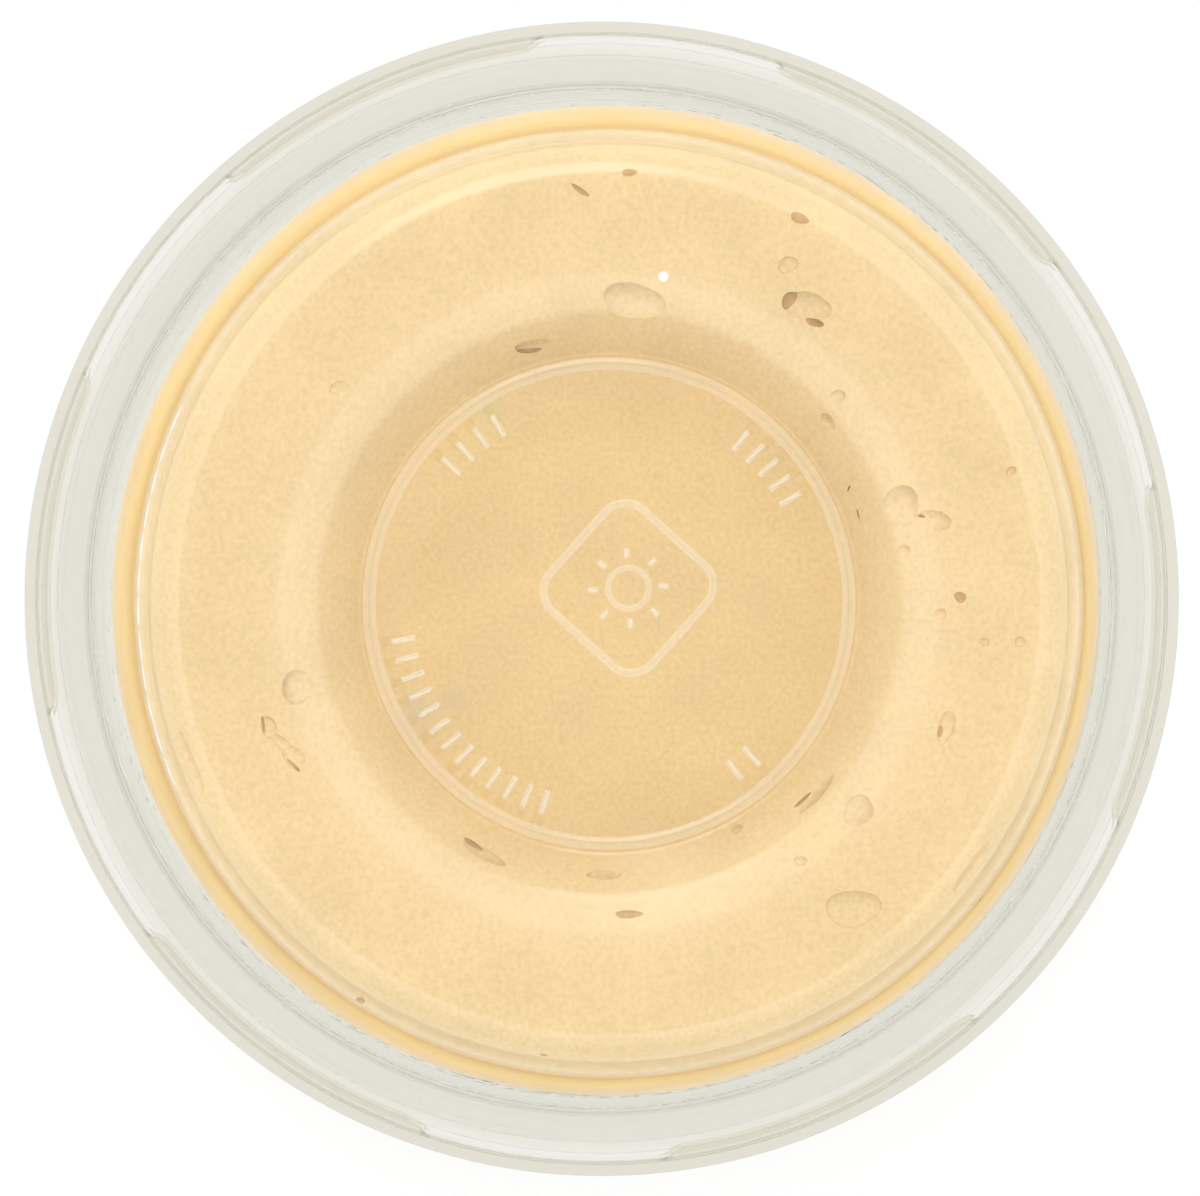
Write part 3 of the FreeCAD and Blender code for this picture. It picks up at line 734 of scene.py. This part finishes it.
pale_dent = paste_material("hummus_pale_dent", (0.885, 0.672, 0.37), 0.05)
# This copy of the paste is painted dark brown: painted shade in the air pockets.
painted_shade_dent = paste_material("hummus_dent_painted_shade", (0.66, 0.43, 0.19), 0.07)
# This copy is painted near white: a painted glint where the air under the sheet mirrors light.
painted_glint_dent = paste_material("hummus_dent_painted_glint", (0.97, 0.96, 0.93), 0.02)
AIR_POCKETS = [  # direction, distance from the axis, length, width, depth, turn, colour
    (85.5, 29.8, 6.3, 4.3, 0.9, -4, pale_dent),
    (56.4, 35.1, 4.4, 2.9, 0.9, -12, pale_dent),
    (59.0, 34.7, 2.0, 1.9, 0.78, 20, painted_shade_dent),
    (54.0, 34.2, 1.9, 0.8, 0.66, -15, painted_shade_dent),
    (62.3, 37.6, 1.9, 1.7, 0.5, 30, pale_dent),
    (18.6, 30.2, 5.0, 3.7, 0.8, 20, pale_dent),
    (14.5, 33.0, 3.4, 1.9, 0.7, -10, pale_dent),
    (10.2, 29.4, 1.4, 1.3, 0.4, 0, pale_dent),
    (39.9, 28.0, 1.6, 2.2, 0.5, 0, pale_dent),
    (-20.2, 35.2, 3.3, 1.7, 0.5, 80, pale_dent),
    (-21.0, 34.9, 1.6, 0.7, 0.54, 85, painted_shade_dent),
    (14.4, 33.9, 1.8, 0.4, 0.48, -60, painted_shade_dent),
    (16.0, 31.6, 1.6, 0.4, 0.48, -10, painted_shade_dent),
    (-42.6, 27.8, 5.2, 2.6, 0.35, 62, pale_dent),
    (-45.5, 27.2, 2.2, 0.35, 0.3, 40, painted_shade_dent),
    (-39.7, 31.8, 3.4, 2.9, 0.7, 20, pale_dent),
    (-51.4, 38.3, 5.4, 3.7, 0.8, -8, pale_dent),
    (-116.7, 27.6, 5.1, 1.7, 0.5, -32, pale_dent),
    (-119.3, 27.3, 2.6, 0.6, 0.48, -34, painted_shade_dent),
    (194.9, 31.7, 3.8, 3.6, 0.6, 15, pale_dent),
    (199.8, 35.6, 2.4, 1.4, 0.5, -75, pale_dent),
    (203.0, 35.0, 2.6, 1.2, 0.4, -40, pale_dent),
    (205.8, 34.5, 2.8, 1.8, 0.5, -55, pale_dent),
    (199.4, 36.0, 1.7, 0.5, 0.48, -80, painted_shade_dent),
    (206.6, 34.9, 2.0, 0.55, 0.48, -48, painted_shade_dent),
    (141.7, 33.9, 1.9, 1.8, 0.4, 0, pale_dent),
    (106.6, 26.6, 3.7, 1.6, 0.5, 8, pale_dent),
    (107.5, 26.2, 2.6, 0.6, 0.48, 6, painted_shade_dent),
    (-91.0, 26.8, 3.4, 1.8, 0.4, 10, pale_dent),
    (63.8, 42.2, 2.0, 1.0, 0.3, -15, painted_shade_dent),
    (87.4, 42.4, 1.4, 0.8, 0.24, 0, painted_shade_dent),
    (94.1, 40.7, 2.1, 0.5, 0.24, -37, painted_shade_dent),
    (42.4, 30.4, 1.6, 1.2, 0.4, 20, pale_dent),
    (1.1, 34.4, 1.2, 1.1, 0.24, 0, painted_shade_dent),
    (-1.8, 32.5, 1.3, 1.2, 0.4, 30, pale_dent),
    (-5.3, 40.5, 1.2, 1.0, 0.4, 0, pale_dent),
    (-5.8, 37.0, 1.0, 0.9, 0.3, 0, pale_dent),
    (18.3, 41.5, 1.1, 0.9, 0.4, 60, pale_dent),
    (-53.4, 31.5, 1.3, 1.0, 0.4, 10, pale_dent),
    (-60.5, 25.6, 1.3, 1.0, 0.4, 40, pale_dent),
    (-86.5, 30.6, 2.8, 0.8, 0.3, 4, painted_shade_dent),
    (237.9, 46.2, 0.9, 0.7, 0.24, 0, painted_shade_dent),
    (261.7, 44.8, 0.8, 0.6, 0.24, 0, painted_shade_dent),
    (25.6, 26.2, 1.7, 0.18, 0.18, 70, painted_shade_dent),
    (19.7, 26.1, 1.2, 0.16, 0.18, 100, painted_shade_dent),
    (-35.7, 44.1, 6.6, 1.7, 0.5, 54, pale_dent),
    (200.8, 44.0, 6.0, 1.5, 0.5, 111, pale_dent),
    (-28.2, 45.2, 2.0, 0.35, 0.3, 62, painted_shade_dent),
    (-38.9, 47.0, 1.9, 1.1, 2.2, 51, pale_dent),
    (-54.9, 47.0, 2.1, 1.2, 2.2, 35, pale_dent),
    # a painted glint: a small near-white dent
    (80.7, 32.6, 1.2, 0.9, 0.3, 70, painted_glint_dent),
]
# The thin line of air along the heel is cut on one side only and painted near white: a painted
# highlight along the heel's edge.
for direction in range(157, 203, 4):  # a thin line of air along the heel
    AIR_POCKETS.append((direction, 46.4, 3.4, 0.16, 0.25, direction + 90, painted_glint_dent))


def outside_level(out):
    """The level of the tub's outside face at a distance from the axis, in mm."""
    if out > HEEL_RADIUS:
        return LEDGE_LEVEL + (LEDGE_RADIUS - out) / DRAFT
    if out > SHOULDER_RADIUS:
        return HEEL_LEVEL
    if out > SHOULDER_RADIUS - SHOULDER_ROUND:
        beyond = out - SHOULDER_RADIUS + SHOULDER_ROUND
        return STAND_LEVEL - SHOULDER_ROUND + sqrt(SHOULDER_ROUND**2 - beyond**2)
    if out > STAND_RADIUS:
        return STAND_LEVEL
    if out > RAMP_RADIUS:
        return RAMP_LEVEL + RAMP_FALL * (out - RAMP_RADIUS) / RAMP_WIDTH
    return PANEL_LEVEL + SLOPE_FALL * (out - PANEL_RADIUS) / SLOPE_WIDTH


shapes = Random(7)
pockets = []
for number, (direction, out, length, width, depth, turn, colour) in enumerate(AIR_POCKETS, 1):
    bpy.ops.object.select_all(action="DESELECT")
    bpy.ops.mesh.primitive_ico_sphere_add(subdivisions=4, radius=0.5)
    pocket = bpy.context.object
    pocket.name = f"air_pocket_{number}"
    uneven = shapes.random() * 50
    for vertex in pocket.data.vertices:
        around = atan2(vertex.co.y, vertex.co.x)
        reach = 1 + 0.09 * sin(2 * around + uneven) + 0.06 * sin(3 * around + 2 * uneven)
        vertex.co.x *= reach
        vertex.co.y *= reach
    pocket.scale = (length * MM, width * MM, 2 * depth * MM)
    pocket.rotation_euler = (0, 0, radians(turn))
    pocket.location = (
        out * cos(radians(direction)) * MM,
        out * sin(radians(direction)) * MM,
        (outside_level(out) - HALF) * MM,
    )
    pocket.data.materials.append(colour)
    bpy.ops.object.transform_apply(location=True, rotation=True, scale=True)
    pockets.append(pocket)
paste.data.materials.append(paste_material("hummus", (0.884, 0.661, 0.349), 0.035))
batches = []  # pockets of one colour; neighbours that may touch go into different batches
for colour in (pale_dent, painted_shade_dent, painted_glint_dent):
    alike = [pocket for pocket in pockets if pocket.data.materials[0] is colour]
    batches += [batch for batch in (alike[0::2], alike[1::2]) if batch]
for batch in batches:
    select_only(*batch)
    bpy.ops.object.join()
    cut_or_join(paste, bpy.context.object, "DIFFERENCE", split=True)
bpy.ops.object.shade_smooth_by_angle(angle=radians(35))
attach(paste, "root")
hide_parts("hummus")

# The sealing film: a thin clear disc, welded to the flange's face. The faint puckers that
# the weld left in it are ripples in its material.
film_low, film_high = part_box("seal_film")
FILM_RADIUS = film_high.x / MM
FILM_TOP = film_high.z / MM
FILM_RINGS = [radius / 2 for radius in range(112, 96, -1)] + [40, 20, 0]  # closest at the weld
film = edge_ring("sealing_film", FILM_RADIUS, FILM_TOP)
draw_sheet((FILM_RADIUS, FILM_TOP), [(radius, FILM_TOP) for radius in FILM_RINGS])
finish_sheet(film, (film_high.z - film_low.z) / MM, True)
film.data.materials.append(
    clear_sheet("clear_film", (1.0, 1.0, 0.99), 0.6, waviness=0.05, scale=1.3)
)
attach(film, "root")
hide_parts("seal_film")

# The lid: a second clear thermoformed sheet, pushed on over the flange. Its stacking ring
# stands on the floor, and six lugs in its skirt hold the flange behind a flared lip.
lid_low, lid_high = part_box("lid")
LID_SHEET = 0.45
LIP_RADIUS = lid_high.x / MM
LIP_TOP = lid_high.z / MM
SKIRT_RADIUS = FLANGE_RADIUS + 0.5
SEAT_LEVEL = SEAL_LEVEL - 0.12
PANEL_LIFT = 2.4
RING_OUTER = FLANGE_RADIUS - 2.05
RING_INNER = HEEL_RADIUS + 2.65
RING_SLOPE = 0.5
LUG_LOW = FLANGE_LEVEL + 0.15
LUG_HIGH = LUG_LOW + 1.3
LUG_ROUND = 0.35
LUG_SPAN = 35.5
LUG_APART = 60
FIRST_LUG = -6
lid = edge_ring("lid_sheet", LIP_RADIUS, LIP_TOP)
draw_sheet(
    (LIP_RADIUS, LIP_TOP),
    [
        (SKIRT_RADIUS, LIP_TOP),
        (SKIRT_RADIUS, LUG_HIGH),
        (SKIRT_RADIUS, LUG_HIGH - LUG_ROUND),
        (SKIRT_RADIUS, LUG_LOW + LUG_ROUND),
        (SKIRT_RADIUS, LUG_LOW),
        (SKIRT_RADIUS, SEAT_LEVEL),
        (RING_OUTER + RING_SLOPE, SEAT_LEVEL),
        (RING_OUTER, LID_SHEET),
        (RING_INNER, LID_SHEET),
        (RING_INNER - RING_SLOPE, PANEL_LIFT + LID_SHEET),
        (0, PANEL_LIFT + LID_SHEET),
    ],
)
round_rings(lid, [(SKIRT_RADIUS, LIP_TOP, 0.6, 6)])
for reach, spare in ((0.3, 0.0), (0.3, 0.4), (0.25, 0.9), (0.2, 1.5)):
    bpy.ops.mesh.select_all(action="DESELECT")
    bpy.ops.mesh.select_mode(type="VERT")
    bpy.ops.object.mode_set(mode="OBJECT")
    for vertex in lid.data.vertices:
        out = hypot(vertex.co.x, vertex.co.y) / MM
        direction = degrees(atan2(vertex.co.y, vertex.co.x)) - FIRST_LUG
        from_middle = abs((direction + LUG_APART / 2) % LUG_APART - LUG_APART / 2)
        on_face = out < SKIRT_RADIUS + 0.2 and LUG_LOW + 0.2 < vertex.co.z / MM < LUG_HIGH - 0.2
        vertex.select = on_face and from_middle < LUG_SPAN / 2 - spare
    bpy.ops.object.mode_set(mode="EDIT")
    share = 1 - reach / SKIRT_RADIUS
    bpy.ops.transform.resize(value=(share, share, 1), center_override=(0, 0, 0))
finish_sheet(lid, LID_SHEET, True)
round_rings(
    lid,
    [
        (SKIRT_RADIUS, SEAT_LEVEL, 0.2, 3),
        (RING_OUTER + RING_SLOPE, SEAT_LEVEL, 0.2, 3),
        (RING_OUTER, LID_SHEET, 0.2, 3),
        (RING_INNER, LID_SHEET, 0.2, 3),
        (RING_INNER - RING_SLOPE, PANEL_LIFT + LID_SHEET, 0.2, 3),
    ],
    reach=0.7,
)
bpy.ops.object.mode_set(mode="OBJECT")
bpy.ops.object.shade_smooth_by_angle(angle=radians(40))
for finish in (
    clear_sheet("clear_lid_sheet", (0.967, 0.962, 0.937), 0.6, 0.985),
    # The lip's greyer tint is painted shade on the flared lip.
    clear_sheet("clear_lid_lip", (0.905, 0.892, 0.84), 0.6, 0.985),
    # The cut edge's dark tint is a painted dark line along the lid's rim.
    clear_sheet("cut_lid_edge", (0.75, 0.74, 0.70), 0.4, 0.85),
    clear_sheet("clear_lid_lugs", (0.98, 0.972, 0.945), 0.85, 0.98),
):
    lid.data.materials.append(finish)
LIP, EDGE, LUGS = 1, 2, 3
for face in lid.data.polygons:
    out = hypot(face.center.x, face.center.y) / MM
    on_skirt = out > SKIRT_RADIUS - 1.6 and face.center.z / MM > LUG_LOW - 0.1
    on_ring_side = -0.35 < out - RING_OUTER < 1.25 and abs(face.normal.z) < 0.7
    if out > LIP_RADIUS - 0.05:
        face.material_index = EDGE
    elif out > SKIRT_RADIUS + 0.2:
        face.material_index = LIP
    elif on_skirt or on_ring_side:
        face.material_index = LUGS
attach(lid, "root")
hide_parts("lid")

# The studio: a pale floor, a soft dome of light that is dim right overhead and brighter in
# a soft patch behind the tub, and a camera high above it.
bpy.ops.object.select_all(action="DESELECT")
bpy.ops.mesh.primitive_plane_add(size=3.0, location=(0, 0, -0.05 * MM))
bpy.ops.object.transform_apply(location=True)
floor = bpy.context.object
floor.name = floor.data.name = "floor"
floor_material, tree, output = new_material("pale_floor")
matt = node(tree, "ShaderNodeBsdfDiffuse")
matt.inputs["Color"].default_value = (0.92, 0.92, 0.92, 1)
glow = node(tree, "ShaderNodeEmission")
glow.inputs["Color"].default_value = (1, 1, 1, 1)
glow.inputs["Strength"].default_value = 1.07


def either_ray(tree, *kinds):
    """1 for a ray of one of these kinds, and 0 for any other."""
    rays = node(tree, "ShaderNodeLightPath")
    found = rays.outputs[kinds[0]]
    for kind in kinds[1:]:
        either = node(tree, "ShaderNodeMath", operation="MAXIMUM")
        tree.links.new(found, either.inputs[0])
        tree.links.new(rays.outputs[kind], either.inputs[1])
        found = either.outputs["Value"]
    return found


glow_share = node(tree, "ShaderNodeMath", operation="MULTIPLY")
glow_share.inputs[1].default_value = 0.75
mix = node(tree, "ShaderNodeMixShader")
seen = either_ray(tree, "Is Camera Ray", "Is Glossy Ray", "Is Transmission Ray")
tree.links.new(seen, glow_share.inputs[0])
tree.links.new(glow_share.outputs["Value"], mix.inputs["Fac"])
tree.links.new(matt.outputs["BSDF"], mix.inputs[1])
tree.links.new(glow.outputs["Emission"], mix.inputs[2])
tree.links.new(mix.outputs["Shader"], output.inputs["Surface"])
floor.data.materials.append(floor_material)

DOME_STEPS = (  # share of the way up to straight overhead, light
    (0.0, 0.75),
    (0.35, 0.65),
    (0.6, 1.0),
    (0.75, 1.35),
    (0.88, 1.6),
    (0.95, 0.14),
    (1.0, 0.14),
)
TO_PATCH = Vector((-0.15, 0.9, 0.9)).normalized()
world = bpy.data.worlds.new("soft_dome")
bpy.context.scene.world = world
world.cycles.sampling_method = "NONE"
world.use_nodes = True
tree = world.node_tree
tree.nodes.clear()
output = node(tree, "ShaderNodeOutputWorld")
direction = node(tree, "ShaderNodeTexCoord")
height = node(tree, "ShaderNodeSeparateXYZ")
dome = node(tree, "ShaderNodeValToRGB")
dome.color_ramp.elements[1].position = 1.0
for number, (position, light) in enumerate(DOME_STEPS):
    if 0 < position < 1:
        dome.color_ramp.elements.new(position)
    dome.color_ramp.elements[number].color = (light, light, light, 1)
dome_light = node(tree, "ShaderNodeBackground")
dome_light.inputs["Strength"].default_value = 1.05
toward = node(tree, "ShaderNodeVectorMath", operation="DOT_PRODUCT")
toward.inputs[1].default_value = TO_PATCH
patch = node(tree, "ShaderNodeMapRange", interpolation_type="SMOOTHSTEP")
patch.inputs["From Min"].default_value = cos(radians(22))
patch.inputs["From Max"].default_value = cos(radians(9))
patch.inputs["To Max"].default_value = 2.2
patch_light = node(tree, "ShaderNodeBackground")
patch_light.inputs["Color"].default_value = (1, 1, 1, 1)
all_light = node(tree, "ShaderNodeAddShader")
white = node(tree, "ShaderNodeBackground")
white.inputs["Color"].default_value = (1, 1, 1, 1)
mix = node(tree, "ShaderNodeMixShader")
tree.links.new(direction.outputs["Generated"], height.inputs["Vector"])
tree.links.new(height.outputs["Z"], dome.inputs["Fac"])
tree.links.new(dome.outputs["Color"], dome_light.inputs["Color"])
tree.links.new(direction.outputs["Generated"], toward.inputs[0])
tree.links.new(toward.outputs["Value"], patch.inputs["Value"])
tree.links.new(patch.outputs["Result"], patch_light.inputs["Strength"])
tree.links.new(dome_light.outputs["Background"], all_light.inputs[0])
tree.links.new(patch_light.outputs["Background"], all_light.inputs[1])
tree.links.new(either_ray(tree, "Is Camera Ray", "Is Transmission Ray"), mix.inputs["Fac"])
tree.links.new(all_light.outputs["Shader"], mix.inputs[1])
tree.links.new(white.outputs["Background"], mix.inputs[2])
tree.links.new(mix.outputs["Shader"], output.inputs["Surface"])

camera = bpy.data.objects.new("camera", bpy.data.cameras.new("camera"))
bpy.context.scene.collection.objects.link(camera)
bpy.context.scene.camera = camera
camera.data.sensor_width = 36
camera.data.lens = 305.7
camera.data.clip_end = 20
eye = Vector((-18.9, 11.9, 1048)) * MM
aim = Vector((-0.2, 0.1, 5.0)) * MM
ahead = (aim - eye).normalized()
up = (Vector((0, 1, 0)) - ahead.y * ahead).normalized()
right = ahead.cross(up)
turned = Matrix((right, up, -ahead)).transposed().to_4x4()
camera.matrix_world = Matrix.Translation(eye) @ turned

bpy.context.scene.view_settings.view_transform = "Standard"
